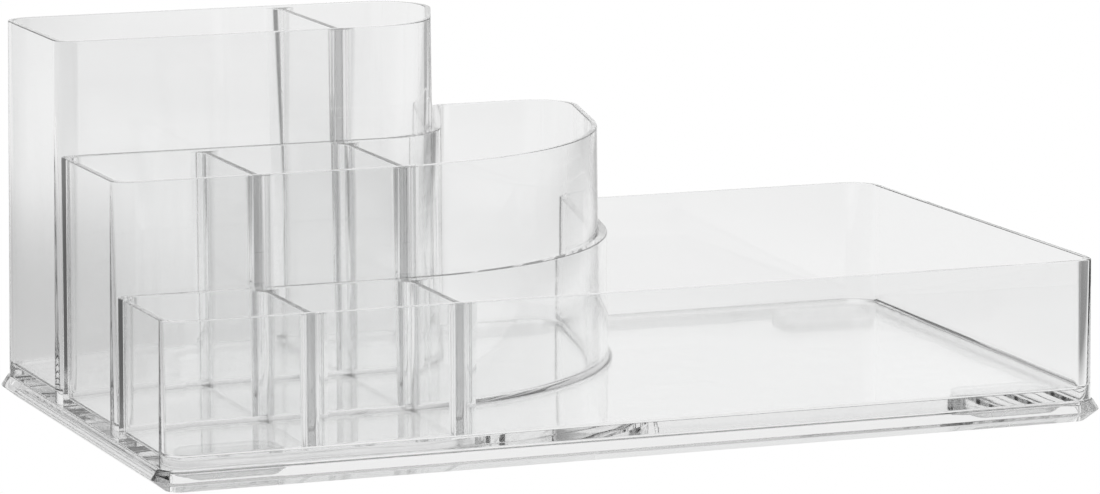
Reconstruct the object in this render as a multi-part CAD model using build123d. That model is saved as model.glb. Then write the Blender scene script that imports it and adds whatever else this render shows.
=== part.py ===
from build123d import *
import math
import os

# Clear makeup organizer: three open bins, nested so that they step down from the back left corner,
# stand on one base plate with a bevelled edge and four soft feet. Nothing on it moves.
# X runs along the front, Y towards the back, Z up. The origin is on the table, under the middle of the base.
# All sizes are in millimetres and degrees.

# Body, its plan measured at the foot of the walls
body_width = 325.0
body_depth = 184.0
rear_rim_height = 129.6
middle_rim_height = 92.0
tray_rim_height = 55.5
front_corner_radius = 6.8
back_corner_radius = 11.0

# Plan of the rear bin: its right end leans out towards the back and sweeps round into its front
rear_bin_length = 157.8
rear_bin_depth = 70.1
rear_end_lean = 20.0
rear_sweep_radius = 29.5
rear_end_radius = 19.5

# Plan of the middle bin, one step larger
middle_bin_length = 209.6
middle_bin_depth = 132.4
middle_end_lean = 13.0
middle_sweep_radius = 101.0
middle_end_radius = 16.0

# Walls and floors of the bins, both faces of a wall drafted so that it is thinnest at its rim
rim_thickness = 2.0
nested_wall_thickness = 3.0
floor_thickness = 3.4
outer_draft = 0.6
pocket_draft = 0.3
bond_gap = 0.15
nested_corner_radius = 3.0
rim_bevel = 0.4
floor_bevel = 0.8

# Wells and dividers, each divider's place measured from the left wall's outer face
first_divider_place = 50.0
second_divider_place = 100.0
divider_thickness = 2.0
divider_drop = 0.7
well_corner_radius = 5.5

# Base plate, hollow below, its edge bevelled out to its widest line and in again below it
plate_shelf = 0.6
edge_reach = 2.9
edge_line_height = 3.9
edge_undercut = 2.0
edge_drop = 7.4
table_clearance = 0.8
plate_thickness = 2.8
recess_inset = 4.2
plate_edge_rounding = 0.5

# Feet, pads with a chamfered tread
foot_length = 36.0
foot_width = 20.0
foot_corner_radius = 7.0
foot_chamfer = 1.0
foot_inset_x = 8.0
foot_inset_y = 8.0

# Levels and edges that follow from the sizes above
plate_top = table_clearance + edge_drop
plate_underside = plate_top - plate_thickness
floor_top = plate_top + floor_thickness
left_x = -body_width / 2
back_y = body_depth / 2
beyond = 2 * body_width


def tier_outline(length, depth, lean, sweep_radius, reach, overhang):
    """Quadrilateral at the body's back left corner, grown by reach, its front right corner swept round.

    Length is along the back. Overhang runs the shape past the body's left and back edges.
    """
    slope = math.tan(math.radians(lean))
    low_y = back_y - depth - reach
    high_y = back_y + overhang
    back_x = left_x + length + reach / math.cos(math.radians(lean))
    low_left = (left_x - overhang, low_y)
    low_right = (back_x - (back_y - low_y) * slope, low_y)
    high_right = (back_x + overhang * slope, high_y)
    high_left = (left_x - overhang, high_y)
    face = make_face(Polyline(low_left, low_right, high_right, high_left, close=True))
    sweep_vertex = face.vertices().sort_by_distance(low_right)[0]
    return fillet(sweep_vertex, sweep_radius + reach)


def rear_outline(reach, overhang):
    return tier_outline(
        rear_bin_length, rear_bin_depth, rear_end_lean, rear_sweep_radius, reach, overhang
    )


def middle_outline(reach, overhang):
    return tier_outline(
        middle_bin_length, middle_bin_depth, middle_end_lean, middle_sweep_radius, reach, overhang
    )


def round_corners(outline, right_back_radius):
    """Round the corners at the left of an outline and the one where its right end meets the back."""
    outline = fillet(outline.vertices().sort_by_distance((left_x, -beyond))[0], front_corner_radius)
    outline = fillet(outline.vertices().sort_by_distance((left_x, back_y))[0], back_corner_radius)
    return fillet(outline.vertices().sort_by_distance((beyond, beyond))[0], right_back_radius)


def inset_at(z):
    """How far the drafted outer walls have leaned in at one level."""
    return (z - plate_top) * math.tan(math.radians(outer_draft))


def rear_face(inset):
    return offset(round_corners(rear_outline(0, 0), rear_end_radius), -inset)


def middle_face(inset):
    return offset(round_corners(middle_outline(0, 0), middle_end_radius), -inset)


def body_face(inset):
    outline = fillet(Rectangle(body_width, body_depth).vertices().group_by(Axis.Y)[0], front_corner_radius)
    outline = fillet(outline.vertices().group_by(Axis.Y)[-1], back_corner_radius)
    return offset(outline, -inset)


def rear_nest(reach):
    """Plan room kept for the rear bin inside the middle bin."""
    return rear_outline(reach, back_corner_radius)


def middle_nest(reach):
    """Plan room kept for the middle bin inside the tray."""
    return middle_outline(reach, back_corner_radius)


def rounded(outline, radius):
    """The outline with its sharp outer corners rounded, also where a corner lies next to an arc."""
    return offset(offset(outline, -radius), radius)


def strip(low_x, high_x):
    """Plan strip between two places along X, longer than the body is deep."""
    return Pos((low_x + high_x) / 2, 0) * Rectangle(high_x - low_x, beyond)


def frustum(low_outline, low_z, high_outline, high_z):
    """Straight walls between two like outlines at two levels."""
    return loft([Pos(0, 0, low_z) * low_outline, Pos(0, 0, high_z) * high_outline], ruled=True)


def drafted_down(outline, rim_z):
    """Hollow from the foot of the rim's bevel down to a bin's floor, narrowing, its own foot bevelled."""
    mouth = Pos(0, 0, rim_z - rim_bevel) * outline
    depth = rim_z - rim_bevel - floor_top
    hollow = extrude(mouth, amount=depth, dir=(0, 0, -1), taper=pocket_draft)
    return chamfer(hollow.edges().group_by(Axis.Z)[0], floor_bevel)


def open_bin(outline_at, pocket, rim_z):
    """Bin whose walls run from the plate to a bevelled rim, with a floor under one drafted pocket."""
    bevel_z = rim_z - rim_bevel
    wall_top = outline_at(inset_at(bevel_z))
    body = frustum(outline_at(0), plate_top, wall_top, bevel_z)
    body += frustum(wall_top, bevel_z, offset(wall_top, -rim_bevel), rim_z)
    body -= drafted_down(pocket, rim_z)
    return body - frustum(pocket, bevel_z, offset(pocket, rim_bevel), rim_z)


def divider(pocket, place, rim_z):
    """Wall across a bin, just lower than its rim, flaring in plan where it is bonded to the bin's walls.

    Its plan is what two neighbouring wells with rounded corners leave of the pocket between them.
    """
    middle_x = left_x + place
    half = divider_thickness / 2
    reach = half + 2 * well_corner_radius
    left_well = rounded(pocket & strip(middle_x - 2 * reach, middle_x - half), well_corner_radius)
    right_well = rounded(pocket & strip(middle_x + half, middle_x + 2 * reach), well_corner_radius)
    plan = pocket & strip(middle_x - reach, middle_x + reach)
    plan -= left_well
    plan -= right_well
    wall = extrude(Pos(0, 0, floor_top) * plan, amount=rim_z - divider_drop - floor_top)
    return wall & drafted_down(pocket, rim_z)


def rear_bin_outline(inset):
    return rounded(rear_face(inset), nested_corner_radius)


def middle_bin_outline(inset):
    return rounded(middle_face(inset) - rear_nest(bond_gap - inset), nested_corner_radius)


def tray_bin_outline(inset):
    return rounded(body_face(inset) - middle_nest(bond_gap - inset), nested_corner_radius)


def rear_pocket():
    return rounded(rear_face(inset_at(rear_rim_height) + rim_thickness), well_corner_radius)


def middle_pocket():
    inset = inset_at(middle_rim_height)
    free = middle_face(inset + rim_thickness) - rear_nest(bond_gap + nested_wall_thickness - inset)
    return rounded(free, well_corner_radius)


def tray_pocket():
    inset = inset_at(tray_rim_height)
    free = body_face(inset + rim_thickness) - middle_nest(bond_gap + nested_wall_thickness - inset)
    return rounded(free, well_corner_radius)


def base_plate():
    """Plate that carries the bins, with a bevelled edge that hides the feet."""
    edge_line = body_face(-edge_reach)
    edge_line_z = table_clearance + edge_line_height
    plate = frustum(body_face(edge_undercut), table_clearance, edge_line, edge_line_z)
    plate += frustum(edge_line, edge_line_z, body_face(-plate_shelf), plate_top)
    plate = fillet(plate.edges().group_by(Axis.Z)[-1], plate_edge_rounding)
    plate -= extrude(body_face(recess_inset), amount=plate_underside)
    return plate


def foot(side_x, side_y):
    """Pad under one corner of the plate."""
    x = side_x * (body_width / 2 - foot_inset_x - foot_length / 2)
    y = side_y * (body_depth / 2 - foot_inset_y - foot_width / 2)
    pad = extrude(RectangleRounded(foot_length, foot_width, foot_corner_radius), amount=plate_underside)
    pad = chamfer(pad.edges().group_by(Axis.Z)[0], foot_chamfer)
    return Pos(x, y) * pad


def write(name, shape):
    shape.label = name
    export_step(shape, os.path.join("parts", name + ".step"))


def write_dividers(bin_name, pocket, places, rim_z):
    for number, place in enumerate(places, start=1):
        write(f"{bin_name}_divider_{number}", divider(pocket, place, rim_z))


os.makedirs("parts", exist_ok=True)
write("base_plate", base_plate())
write("rear_bin", open_bin(rear_bin_outline, rear_pocket(), rear_rim_height))
write("middle_bin", open_bin(middle_bin_outline, middle_pocket(), middle_rim_height))
write("tray_bin", open_bin(tray_bin_outline, tray_pocket(), tray_rim_height))
write_dividers("rear", rear_pocket(), [second_divider_place], rear_rim_height)
write_dividers("middle", middle_pocket(), [first_divider_place, second_divider_place], middle_rim_height)
write_dividers("tray", tray_pocket(), [first_divider_place, second_divider_place], tray_rim_height)
for side_y, row in ((-1, "front"), (1, "back")):
    for side_x, side in ((-1, "left"), (1, "right")):
        write(f"{row}_{side}_foot", foot(side_x, side_y))
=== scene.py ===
import math

import bmesh
import bpy
from mathutils import Matrix, Vector


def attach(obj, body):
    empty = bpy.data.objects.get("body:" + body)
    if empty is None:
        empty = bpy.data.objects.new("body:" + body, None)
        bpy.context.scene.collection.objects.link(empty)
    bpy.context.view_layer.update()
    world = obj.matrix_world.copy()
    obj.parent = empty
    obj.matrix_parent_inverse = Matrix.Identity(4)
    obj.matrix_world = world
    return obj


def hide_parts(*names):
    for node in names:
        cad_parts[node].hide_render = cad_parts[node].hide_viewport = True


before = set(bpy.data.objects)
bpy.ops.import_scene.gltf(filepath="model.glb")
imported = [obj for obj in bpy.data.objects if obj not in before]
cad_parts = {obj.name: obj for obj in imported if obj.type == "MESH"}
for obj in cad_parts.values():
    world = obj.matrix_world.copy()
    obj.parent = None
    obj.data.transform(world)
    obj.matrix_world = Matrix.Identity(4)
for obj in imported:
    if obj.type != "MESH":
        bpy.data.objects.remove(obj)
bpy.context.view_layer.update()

# Base plate. The real one is a shallow clear tray turned upside down: a plate with a lip all round,
# moulded in one shot of clear acrylic, its edge bevelled out to a sharp middle line and in again.
# The bins are bonded on top of it, and the feet sit under its corners.
MM = 0.001
left = -162.5
right = 162.5
front = -92.0
back = 92.0
front_corner_radius = 6.8
back_corner_radius = 11.0
plate_corners = (
    (left, front, front_corner_radius),
    (right, front, front_corner_radius),
    (right, back, back_corner_radius),
    (left, back, back_corner_radius),
)
plate_underside = 5.4
plate_tread = 0.8
plate_edge_line = 4.7
plate_top = 8.15
recess_inset = 4.2
tread_inset = 2.0
edge_line_reach = 2.9
shelf_reach = 0.6


def grown(corners, reach):
    """The plate's corners with every side moved out by reach, and in where reach is negative."""
    return [
        (x + math.copysign(1, x) * reach, y + math.copysign(1, y) * reach, radius + reach)
        for x, y, radius in corners
    ]


def start_piece(name):
    """A new mesh with nothing in it yet, left in edit mode for its outlines to be drawn in."""
    bpy.ops.object.select_all(action="DESELECT")
    bpy.ops.mesh.primitive_plane_add(size=MM, location=(0, 0, 0))
    piece = bpy.context.object
    piece.name = name
    piece.data.name = name
    bpy.ops.object.mode_set(mode="EDIT")
    bpy.ops.mesh.select_mode(type="VERT")
    bpy.ops.mesh.select_all(action="SELECT")
    bpy.ops.mesh.delete(type="VERT")
    return piece


def draw_outline(corners, level):
    """A closed outline at one level: straight runs extruded from one vertex, an arc spun at each corner."""
    degrees_per_step = 3
    places = [Vector((x, y, level)) * MM for x, y, _ in corners]
    runs = []
    for number, (_, _, radius) in enumerate(corners):
        place = places[number]
        arriving = (place - places[number - 1]).normalized()
        leaving = (places[(number + 1) % len(places)] - place).normalized()
        turn = math.atan2(arriving.cross(leaving).z, arriving.dot(leaving))
        length = radius * MM * math.tan(abs(turn) / 2)
        inward = Vector((-arriving.y, arriving.x, 0)) * math.copysign(radius * MM, turn)
        arc_start = place - arriving * length
        runs.append((arc_start, arc_start + inward, turn, place + leaving * length))
    here = runs[-1][3]
    bpy.ops.mesh.select_mode(type="VERT")
    bpy.ops.mesh.select_all(action="DESELECT")
    bpy.ops.mesh.primitive_plane_add(size=MM / 10, location=here)
    bpy.ops.mesh.merge(type="CENTER")
    for arc_start, centre, turn, arc_end in runs:
        bpy.ops.mesh.extrude_region_move(TRANSFORM_OT_translate={"value": arc_start - here})
        if arc_end != arc_start:
            steps = round(abs(turn) / math.radians(degrees_per_step))
            bpy.ops.mesh.spin(steps=steps, angle=-turn, center=centre, axis=(0, 0, 1))
        here = arc_end
    bpy.ops.mesh.select_all(action="SELECT")
    bpy.ops.mesh.remove_doubles(threshold=MM / 200)


def select_open_edges():
    bpy.ops.mesh.select_mode(type="EDGE")
    bpy.ops.mesh.select_all(action="DESELECT")
    bpy.ops.mesh.select_non_manifold(use_multi_face=False, use_non_contiguous=False, use_verts=False)


def close_face():
    """Fills the outline that is still open."""
    select_open_edges()
    bpy.ops.mesh.edge_face_add()


def wall_to(corners, level):
    """Draws the next outline well above the open one, bridges the two and brings it to its level.

    Bridged where they lie, two outlines on one level could come out turned over.
    """
    well_above = 300
    draw_outline(corners, level + well_above)
    select_open_edges()
    bpy.ops.mesh.bridge_edge_loops()
    select_open_edges()
    bpy.ops.transform.translate(value=(0, 0, -well_above * MM))


def round_edges(piece, level, radius, segments, from_x=2 * left, to_x=2 * right):
    """Rounds the edges at one level, between two places along X, that turn more than a smooth wall does."""
    level_slack = 0.01
    least_turn = math.radians(20)
    bpy.ops.mesh.select_mode(type="EDGE")
    bpy.ops.mesh.select_all(action="DESELECT")
    mesh = bmesh.from_edit_mesh(piece.data)
    for edge in mesh.edges:
        at_level = all(abs(vertex.co.z / MM - level) < level_slack for vertex in edge.verts)
        in_reach = all(from_x < vertex.co.x / MM < to_x for vertex in edge.verts)
        if at_level and in_reach:
            edge.select_set(edge.calc_face_angle(0) > least_turn)
    bmesh.update_edit_mesh(piece.data)
    bpy.ops.mesh.bevel(offset=radius * MM, segments=segments, profile=0.5, affect="EDGES")


def face_outwards():
    bpy.ops.mesh.select_all(action="SELECT")
    bpy.ops.mesh.normals_make_consistent(inside=False)
    bpy.ops.mesh.select_all(action="DESELECT")
    bpy.ops.object.mode_set(mode="OBJECT")


def finish_piece(piece, node, material):
    """Faces outwards, smooth walls with flat ones kept flat, and the piece in the node's place."""
    sharpest_smooth_turn = math.radians(32)
    face_outwards()
    bpy.ops.object.shade_smooth_by_angle(angle=sharpest_smooth_turn)
    flat_walls = piece.modifiers.new("flat walls", "WEIGHTED_NORMAL")
    flat_walls.keep_sharp = True
    bpy.ops.object.modifier_apply(modifier=flat_walls.name)
    piece.data.materials.append(material)
    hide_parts(node)
    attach(piece, "root")


def graded(tree, value, start, end, first, last, smooth=False):
    """Goes from first to last while value goes from start to end."""
    grade = tree.nodes.new("ShaderNodeMapRange")
    if smooth:
        grade.interpolation_type = "SMOOTHSTEP"
    grade.inputs["From Min"].default_value = start
    grade.inputs["From Max"].default_value = end
    grade.inputs["To Min"].default_value = first
    grade.inputs["To Max"].default_value = last
    tree.links.new(value, grade.inputs["Value"])
    return grade.outputs["Result"]


def fine_noise(tree, place, scale, detail):
    noise = tree.nodes.new("ShaderNodeTexNoise")
    noise.inputs["Scale"].default_value = scale
    noise.inputs["Detail"].default_value = detail
    tree.links.new(place, noise.inputs["Vector"])
    return noise.outputs["Fac"]


def clear_acrylic(name, place, dull, bright, waviness, greyness):
    """Clear moulded acrylic: faint flow waves, a gloss that varies a little, a grey depth in thick parts.

    Place shifts the patterns, so that no two mouldings have the same. Dull and bright are the roughness
    of the dullest and the glossiest spots.
    """
    material = bpy.data.materials.new(name)
    material.use_nodes = True
    tree = material.node_tree
    shader = tree.nodes["Principled BSDF"]
    shader.inputs["Transmission Weight"].default_value = 1.0
    shader.inputs["IOR"].default_value = 1.49
    shifted = tree.nodes.new("ShaderNodeMapping")
    shifted.inputs["Location"].default_value = place
    tree.links.new(tree.nodes.new("ShaderNodeTexCoord").outputs["Object"], shifted.inputs["Vector"])
    flow = fine_noise(tree, shifted.outputs["Vector"], scale=26.0, detail=1.5)
    polish = fine_noise(tree, shifted.outputs["Vector"], scale=75.0, detail=5.0)
    gloss = graded(tree, polish, start=0.3, end=0.7, first=bright, last=dull)
    tree.links.new(gloss, shader.inputs["Roughness"])
    faint_tint = (0.985, 0.988, 0.988, 1)
    colourless = (1, 1, 1, 1)
    tint = tree.nodes.new("ShaderNodeMix")
    tint.data_type = "RGBA"
    tint.inputs["A"].default_value = faint_tint
    tint.inputs["B"].default_value = colourless
    tree.links.new(flow, tint.inputs["Factor"])
    tree.links.new(tint.outputs["Result"], shader.inputs["Base Color"])
    waves = tree.nodes.new("ShaderNodeBump")
    waves.inputs["Strength"].default_value = waviness
    waves.inputs["Distance"].default_value = 0.2 * MM
    tree.links.new(flow, waves.inputs["Height"])
    tree.links.new(waves.outputs["Normal"], shader.inputs["Normal"])
    depth = tree.nodes.new("ShaderNodeVolumeAbsorption")
    depth.inputs["Color"].default_value = (0.5, 0.5, 0.5, 1)
    depth.inputs["Density"].default_value = greyness
    tree.links.new(depth.outputs["Volume"], tree.nodes["Material Output"].inputs["Volume"])
    return material


plate = start_piece("clear_base_plate")
draw_outline(grown(plate_corners, -recess_inset), plate_underside)
close_face()
wall_to(grown(plate_corners, -recess_inset), plate_tread)
wall_to(grown(plate_corners, -tread_inset), plate_tread)
wall_to(grown(plate_corners, edge_line_reach), plate_edge_line)
wall_to(grown(plate_corners, shelf_reach), plate_top)
close_face()
round_edges(plate, plate_top, radius=0.5, segments=3)
round_edges(plate, plate_edge_line, radius=0.25, segments=2)
round_edges(plate, plate_tread, radius=0.3, segments=2)
round_edges(plate, plate_underside, radius=0.8, segments=3)
plate_acrylic = clear_acrylic(
    "base_plate_acrylic", place=(3, 1, 0), dull=0.035, bright=0.012, waviness=0.3, greyness=4
)
finish_piece(plate, "base_plate", plate_acrylic)

# Feet. Four soft clear pads with rounded corners and a chamfered tread, all from one mould, bonded
# to the hollow underside of the plate. They are cast in a softer, slightly cloudy plastic, so they show
# as grey shapes through the floor.
foot_x = -136.5
foot_y = -74.0
foot_half_length = 18.0
foot_half_width = 10.0
foot_radius = 7.0
foot_chamfer = 1.0
foot_top = 5.35


def pad_corners(inset):
    """Corners of the front left pad, with every side moved in by inset."""
    sides = ((-1, -1), (1, -1), (1, 1), (-1, 1))
    return [
        (
            foot_x + side_x * (foot_half_length - inset),
            foot_y + side_y * (foot_half_width - inset),
            foot_radius - inset,
        )
        for side_x, side_y in sides
    ]


pad = start_piece("front_left_pad")
draw_outline(pad_corners(foot_chamfer), 0.0)
close_face()
wall_to(pad_corners(0), foot_chamfer)
wall_to(pad_corners(0), foot_top)
close_face()
round_edges(pad, 0.0, radius=0.4, segments=2)
round_edges(pad, foot_chamfer, radius=0.4, segments=2)
round_edges(pad, foot_top, radius=0.3, segments=2)
cloudy_plastic = clear_acrylic(
    "foot_soft_plastic", place=(0, 0, 5), dull=0.3, bright=0.18, waviness=0.5, greyness=10
)
finish_piece(pad, "front_left_foot", cloudy_plastic)
for corner, across, deep in (
    ("front_right", -2 * foot_x, 0),
    ("back_left", 0, -2 * foot_y),
    ("back_right", -2 * foot_x, -2 * foot_y),
):
    bpy.ops.object.select_all(action="DESELECT")
    pad.select_set(True)
    bpy.context.view_layer.objects.active = pad
    bpy.ops.object.duplicate()
    copied_pad = bpy.context.object
    copied_pad.name = f"{corner}_pad"
    copied_pad.data.name = copied_pad.name
    copied_pad.data.transform(Matrix.Translation(Vector((across, deep, 0)) * MM))
    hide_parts(f"{corner}_foot")
    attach(copied_pad, "root")

# Tray bin. The lowest and widest bin: its front, left and right walls run round the whole plate, and
# a wall of its own follows the bin behind it along a wide sweep. One moulding, its walls drafted,
# its rim and floor edges rounded.
tray_rim = 55.5
bin_foot = 8.25
drafted_from = 8.2
floor_top = 11.6
outer_draft = math.tan(math.radians(0.6))
pocket_draft = math.tan(math.radians(0.3))
rim_thickness = 2.0
nest_gap = 0.15
nest_wall = 3.0
lip_radius = 3.0
well_radius = 5.5
rim_rounding = 0.35
rim_steps = 3
floor_rounding = 1.5
floor_steps = 5
middle_lean = math.radians(13)
middle_front = -40.4
middle_back_x = 47.1
middle_sweep = 101.0


def lean_x(back_x, lean, y):
    """Where a bin's leaning end stands at one place along Y."""
    return back_x - (back - y) * math.tan(lean)


def leaned_in(rim):
    """How far the outer walls of a bin have leaned in at its rim."""
    return (rim - drafted_from) * outer_draft


def pocket_narrowing(rim):
    """How much closer together a pocket's walls are at its floor than at its rim, on each side."""
    return (rim - floor_top) * pocket_draft


def tray_outline(inset, nest_reach, lip, least):
    """Corners of the tray's plan: the body's outline less the room that the middle bin takes.

    Inset moves the outer walls in, nest_reach moves the wall beside the middle bin away from it.
    Lip is the radius where the two kinds of wall meet, least the smallest radius of the outer corners.
    """
    nest_front = middle_front - nest_reach
    nest_back_x = middle_back_x + nest_reach / math.cos(middle_lean)
    return [
        (left + inset, front + inset, max(front_corner_radius - inset, least)),
        (right - inset, front + inset, max(front_corner_radius - inset, least)),
        (right - inset, back - inset, max(back_corner_radius - inset, least)),
        (lean_x(nest_back_x, middle_lean, back - inset), back - inset, lip),
        (lean_x(nest_back_x, middle_lean, nest_front), nest_front, middle_sweep + nest_reach),
        (left + inset, nest_front, lip),
    ]


def moulded_bin(name, outline, rim, node, material):
    """One open bin: outside wall, rim, drafted pocket and floor, with rounded rim and floor edges."""
    lean_in = leaned_in(rim)
    narrowing = pocket_narrowing(rim)
    wall = lean_in + rim_thickness
    nest = nest_gap + nest_wall - lean_in
    piece = start_piece(name)
    draw_outline(outline(0, nest_gap, lip_radius, 0), bin_foot)
    close_face()
    wall_to(outline(lean_in, nest_gap - lean_in, lip_radius, 0), rim)
    wall_to(outline(wall, nest, well_radius, well_radius), rim)
    wall_to(outline(wall + narrowing, nest + narrowing, well_radius, well_radius - narrowing), floor_top)
    close_face()
    round_edges(piece, rim, rim_rounding, rim_steps)
    round_edges(piece, floor_top, floor_rounding, floor_steps)
    round_edges(piece, bin_foot, radius=0.3, segments=2)
    finish_piece(piece, node, material)


def bin_acrylic(name, place):
    """The bins' acrylic, a little glossier than the plate's and with next to no grey."""
    return clear_acrylic(name, place, dull=0.03, bright=0.01, waviness=0.4, greyness=1.5)


moulded_bin(
    "clear_tray_bin", tray_outline, tray_rim, "tray_bin",
    bin_acrylic("tray_bin_acrylic", (0, 4, 1)),
)

# Middle bin. Stands inside the tray bin's sweep and wraps round the rear bin in the same way,
# one step higher: straight front, wide swept corner, end wall leaning out to the back.
middle_rim = 92.0
middle_end_radius = 16
rear_lean = math.radians(20)
rear_front = 21.9
rear_back_x = -4.7
rear_sweep = 29.5


def middle_outline(inset, nest_reach, lip, least):
    """Corners of the middle bin's plan, with room for the rear bin as the tray has for this one."""
    nest_front = rear_front - nest_reach
    nest_back_x = rear_back_x + nest_reach / math.cos(rear_lean)
    end_x = middle_back_x - inset / math.cos(middle_lean)
    return [
        (left + inset, middle_front + inset, max(front_corner_radius - inset, least)),
        (lean_x(end_x, middle_lean, middle_front + inset), middle_front + inset, middle_sweep - inset),
        (lean_x(end_x, middle_lean, back - inset), back - inset, middle_end_radius - inset),
        (lean_x(nest_back_x, rear_lean, back - inset), back - inset, lip),
        (lean_x(nest_back_x, rear_lean, nest_front), nest_front, rear_sweep + nest_reach),
        (left + inset, nest_front, lip),
    ]


moulded_bin(
    "clear_middle_bin", middle_outline, middle_rim, "middle_bin",
    bin_acrylic("middle_bin_acrylic", (2, 0, 7)),
)

# Rear bin. The tallest one, in the back left corner, with a plain closed outline: straight front,
# a tighter swept corner and a leaning end. Moulded like the others, with no other bin to wrap round.
rear_rim = 129.6
rear_end_radius = 19.5


def rear_outline(inset, nest_reach, lip, least):
    """Corners of the rear bin's plan. It has no nest, so nest_reach and lip change nothing."""
    end_x = rear_back_x - inset / math.cos(rear_lean)
    return [
        (left + inset, rear_front + inset, max(front_corner_radius - inset, least)),
        (lean_x(end_x, rear_lean, rear_front + inset), rear_front + inset, rear_sweep - inset),
        (lean_x(end_x, rear_lean, back - inset), back - inset, rear_end_radius - inset),
        (left + inset, back - inset, max(back_corner_radius - inset, least)),
    ]


moulded_bin(
    "clear_rear_bin", rear_outline, rear_rim, "rear_bin",
    bin_acrylic("rear_bin_acrylic", (6, 2, 3)),
)

# Dividers. Thin clear walls across the bins, just lower than the rims, bonded to the walls and the floor.
# Each flares in plan where it meets the walls, which gives the wells beside it their rounded corners.
# The flares end in a blunt edge: they run a little into the walls before they are cut to the pocket.
first_divider_x = -112.5
second_divider_x = -62.5
web_half = 1.0
flare = 5.5
divider_drop = 0.7
glue_line = 0.05
past_wall = 0.6
past_flare = 1
below_floor = 1
past_web = 2
blunt = 0.15


def filled_pocket(outline, rim):
    """The room inside one bin's pocket, a glue line smaller all round, to cut the dividers' ends to."""
    lean_in = leaned_in(rim)
    narrowing = pocket_narrowing(rim)
    wall = lean_in + rim_thickness + glue_line
    nest = nest_gap + nest_wall - lean_in + glue_line
    floor = floor_top + glue_line
    room = start_piece("pocket_room")
    draw_outline(outline(wall, nest, well_radius, well_radius), rim)
    close_face()
    wall_to(outline(wall + narrowing, nest + narrowing, well_radius, well_radius - narrowing), floor)
    close_face()
    round_edges(room, floor, floor_rounding - glue_line, floor_steps)
    face_outwards()
    return room


def clear_divider(name, node, x, near, far, outline, rim, material):
    """One divider between the walls at near and far, cut to their lean and to the floor's rounding."""
    room = filled_pocket(outline, rim)
    spread = web_half + flare + past_flare
    near -= blunt
    far += blunt
    plan = [
        (x - spread, near - past_wall, 0),
        (x + spread, near - past_wall, 0),
        (x + spread, near, 0),
        (x + web_half, near, flare),
        (x + web_half, far, flare),
        (x + spread, far, 0),
        (x + spread, far + past_wall, 0),
        (x - spread, far + past_wall, 0),
        (x - spread, far, 0),
        (x - web_half, far, flare),
        (x - web_half, near, flare),
        (x - spread, near, 0),
    ]
    divider = start_piece(name)
    top = rim - divider_drop
    draw_outline(plan, floor_top - below_floor)
    close_face()
    wall_to(plan, top)
    close_face()
    face_outwards()
    cut_ends = divider.modifiers.new("cut ends", "BOOLEAN")
    cut_ends.operation = "INTERSECT"
    cut_ends.solver = "EXACT"
    cut_ends.object = room
    bpy.ops.object.modifier_apply(modifier=cut_ends.name)
    bpy.data.objects.remove(room)
    bpy.ops.object.mode_set(mode="EDIT")
    reach = web_half + past_web
    round_edges(divider, top, rim_rounding, rim_steps, from_x=x - reach, to_x=x + reach)
    finish_piece(divider, node, material)


def inner_face(front_wall, rim):
    """Where the pocket begins behind a bin's own front wall."""
    return front_wall + leaned_in(rim) + rim_thickness


def nest_face(next_front, rim):
    """Where the pocket ends before the wall that stands beside the next bin."""
    return next_front - (nest_gap + nest_wall - leaned_in(rim))


sheet_acrylic = clear_acrylic(
    "divider_acrylic", place=(1, 6, 4), dull=0.03, bright=0.01, waviness=0.4, greyness=15
)
for level, near, far, outline, rim, places in (
    (
        "tray", inner_face(front, tray_rim), nest_face(middle_front, tray_rim),
        tray_outline, tray_rim, (first_divider_x, second_divider_x),
    ),
    (
        "middle", inner_face(middle_front, middle_rim), nest_face(rear_front, middle_rim),
        middle_outline, middle_rim, (first_divider_x, second_divider_x),
    ),
    (
        "rear", inner_face(rear_front, rear_rim), back - leaned_in(rear_rim) - rim_thickness,
        rear_outline, rear_rim, (second_divider_x,),
    ),
):
    for number, x in enumerate(places, start=1):
        node = f"{level}_divider_{number}"
        clear_divider(f"clear_{node}", node, x, near, far, outline, rim, sheet_acrylic)

# Floor of the studio: a plain white table, so evenly bright that nothing casts a shadow on it. It is white
# where the camera sees it directly and dimmer through the plastic, like the photograph's cleared background.
# Painted shade in strips of the table's glow, at both sides, in front and by the left walls, dims it more,
# which paints the grey lines of clear edges.
camera_turn = 0.3735
table_radius = 12
table_gap = 0.5
tone_through_plastic = 0.9
# Tones and place of the painted shade strips in the table's glow, which is seen through the plastic only.
left_painted_shade_tone = 0.85
right_painted_shade_tone = 0.3
front_painted_shade_tone = 0.7
wall_painted_shade_tone = 0.66
wall_painted_shade_place = (-0.28, 0.24, 0)
bpy.ops.mesh.primitive_circle_add(
    vertices=96, radius=table_radius, fill_type="NGON", location=(0, 0, -table_gap * MM)
)
table = bpy.context.object
table.name = "studio_table"
white = bpy.data.materials.new("white_table")
white.use_nodes = True
white_tree = white.node_tree
white_shader = white_tree.nodes["Principled BSDF"]
white_shader.inputs["Base Color"].default_value = (0, 0, 0, 1)
white_shader.inputs["Specular IOR Level"].default_value = 0
white_shader.inputs["Roughness"].default_value = 1
white_shader.inputs["Emission Color"].default_value = (1, 1, 1, 1)


def worked(tree, operation, *values):
    """A Math node's result, each value being a number or another node's output."""
    math_node = tree.nodes.new("ShaderNodeMath")
    math_node.operation = operation
    for socket, value in zip(math_node.inputs, values):
        if isinstance(value, (int, float)):
            socket.default_value = value
        else:
            tree.links.new(value, socket)
    return math_node.outputs["Value"]


def white_when_seen(tree, otherwise):
    """Full brightness for what the camera sees directly, and another brightness for all other light."""
    seen = tree.nodes.new("ShaderNodeMix")
    tree.links.new(tree.nodes.new("ShaderNodeLightPath").outputs["Is Camera Ray"], seen.inputs["Factor"])
    tree.links.new(otherwise, seen.inputs["A"])
    seen.inputs["B"].default_value = 1.0
    return seen.outputs["Result"]


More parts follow.
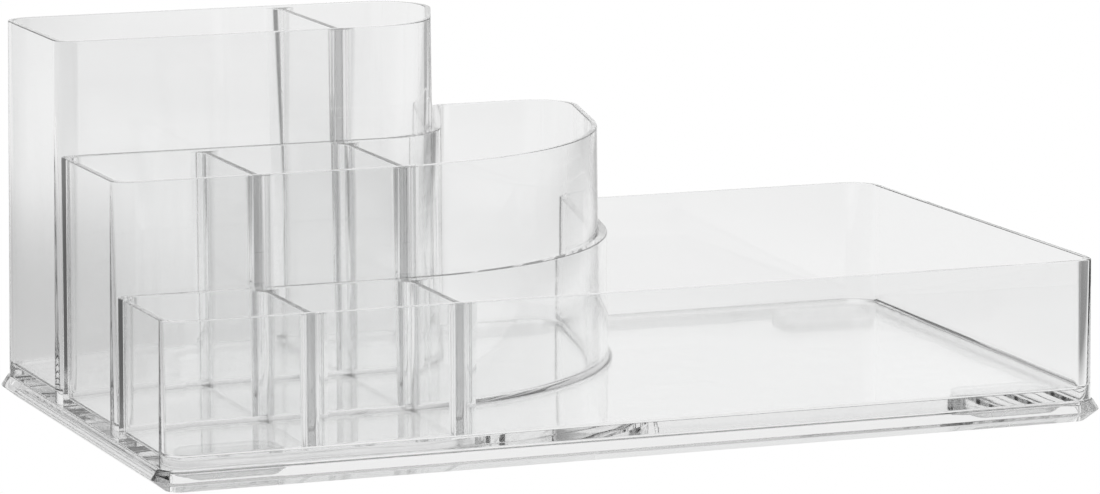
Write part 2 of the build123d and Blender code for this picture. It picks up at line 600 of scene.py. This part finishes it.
table_place = white_tree.nodes.new("ShaderNodeTexCoord")
across_the_view = white_tree.nodes.new("ShaderNodeMapping")
across_the_view.inputs["Rotation"].default_value = (0, 0, camera_turn)
white_tree.links.new(table_place.outputs["Object"], across_the_view.inputs["Vector"])
place_on_table = white_tree.nodes.new("ShaderNodeSeparateXYZ")
white_tree.links.new(across_the_view.outputs["Vector"], place_on_table.inputs["Vector"])
# The ramp of the painted shade strips at the sides runs across the view, from 1 m at the left of the middle
# to 1 m at its right.
side_painted_shade = white_tree.nodes.new("ShaderNodeValToRGB")
painted_shade_edges = side_painted_shade.color_ramp.elements
painted_shade_edges[0].position = 0.225
painted_shade_edges[0].color = (1, 1, 1, 1)
painted_shade_edges[1].position = 0.775
painted_shade_edges[1].color = (1, 1, 1, 1)
for edge, tone in (
    (0.28, left_painted_shade_tone),
    (0.35, left_painted_shade_tone),
    (0.39, 1),
    (0.61, 1),
    (0.645, right_painted_shade_tone),
    (0.725, right_painted_shade_tone),
):
    painted_shade_edges.new(edge).color = (tone, tone, tone, 1)
from_left_to_right = worked(white_tree, "MULTIPLY_ADD", place_on_table.outputs["X"], 0.5, 0.5)
white_tree.links.new(from_left_to_right, side_painted_shade.inputs["Fac"])
# Painted shade strip in front of the object.
front_painted_shade = graded(
    white_tree, place_on_table.outputs["Y"],
    start=-0.5, end=-0.15, first=front_painted_shade_tone, last=1.0, smooth=True,
)
# Painted shade patch by the left walls.
from_wall_painted_shade = white_tree.nodes.new("ShaderNodeVectorMath")
from_wall_painted_shade.operation = "DISTANCE"
from_wall_painted_shade.inputs[1].default_value = wall_painted_shade_place
white_tree.links.new(table_place.outputs["Object"], from_wall_painted_shade.inputs[0])
wall_painted_shade = graded(
    white_tree, from_wall_painted_shade.outputs["Value"],
    start=0.1, end=0.36, first=wall_painted_shade_tone, last=1.0, smooth=True,
)
# All painted shade strips together dim the table's glow where it is seen through the plastic.
side_and_front_painted_shade = worked(white_tree, "MULTIPLY", side_painted_shade.outputs["Color"], front_painted_shade)
all_painted_shade = worked(white_tree, "MULTIPLY", side_and_front_painted_shade, wall_painted_shade)
through_plastic = worked(white_tree, "MULTIPLY", all_painted_shade, tone_through_plastic)
white_tree.links.new(white_when_seen(white_tree, through_plastic), white_shader.inputs["Emission Strength"])
table.data.materials.append(white)

# Light of the studio: a white tent, dimmer overhead, and dim low down behind the camera, which gives
# the clear edges their grey, with two faint soft boxes at the left and overhead for the bright lines.
tone_overhead = 0.5
tone_behind_camera = 0.32
sky = bpy.data.worlds.new("studio_tent")
bpy.context.scene.world = sky
sky.use_nodes = True
sky_tree = sky.node_tree
sky_tree.nodes["Background"].inputs["Color"].default_value = (1, 1, 1, 1)
direction = sky_tree.nodes.new("ShaderNodeSeparateXYZ")
sky_tree.links.new(sky_tree.nodes.new("ShaderNodeTexCoord").outputs["Generated"], direction.inputs["Vector"])
upward = graded(sky_tree, direction.outputs["Z"], start=0.1, end=0.8, first=1.0, last=tone_overhead)
backward = graded(sky_tree, direction.outputs["Y"], start=-0.5, end=0.5, first=tone_behind_camera, last=1.0)
above_the_dim_part = graded(
    sky_tree, direction.outputs["Z"], start=0.35, end=0.6, first=0.0, last=1.0, smooth=True
)
around = worked(sky_tree, "MAXIMUM", above_the_dim_part, backward)
tent = worked(sky_tree, "MULTIPLY", upward, around)
sky_tree.links.new(white_when_seen(sky_tree, tent), sky_tree.nodes["Background"].inputs["Strength"])
for name, place, turn, size, power in (
    ("overhead_softbox", (0.0, 0.3, 1.5), (0, 0, 0), (1.2, 0.8), 2),
    ("left_softbox", (-1.6, 0.2, 0.9), (math.radians(60), 0, math.radians(-85)), (0.5, 1.1), 1.5),
):
    bpy.ops.object.light_add(type="AREA", location=place, rotation=turn)
    softbox = bpy.context.object
    softbox.name = name
    softbox.data.shape = "RECTANGLE"
    softbox.data.size, softbox.data.size_y = size
    softbox.data.energy = power

# Camera, fitted to the photograph: a long lens from the front left and a little above.
photo_width = 1100
focal_length_in_pixels = 5724.94
sensor_width = 36
camera_tilt = 0.1659
camera_place = (-0.690204, -1.768264, 0.373165)
clear_bounces = 48
reflection_bounces = 32
bpy.ops.object.camera_add(location=camera_place, rotation=(math.pi / 2 - camera_tilt, 0, -camera_turn))
camera = bpy.context.object
camera.name = "studio_camera"
camera.data.sensor_width = sensor_width
camera.data.lens = focal_length_in_pixels / photo_width * sensor_width
scene = bpy.context.scene
scene.camera = camera
scene.view_settings.view_transform = "Standard"
scene.cycles.max_bounces = clear_bounces
scene.cycles.transmission_bounces = clear_bounces
scene.cycles.glossy_bounces = reflection_bounces
scene.cycles.transparent_max_bounces = reflection_bounces
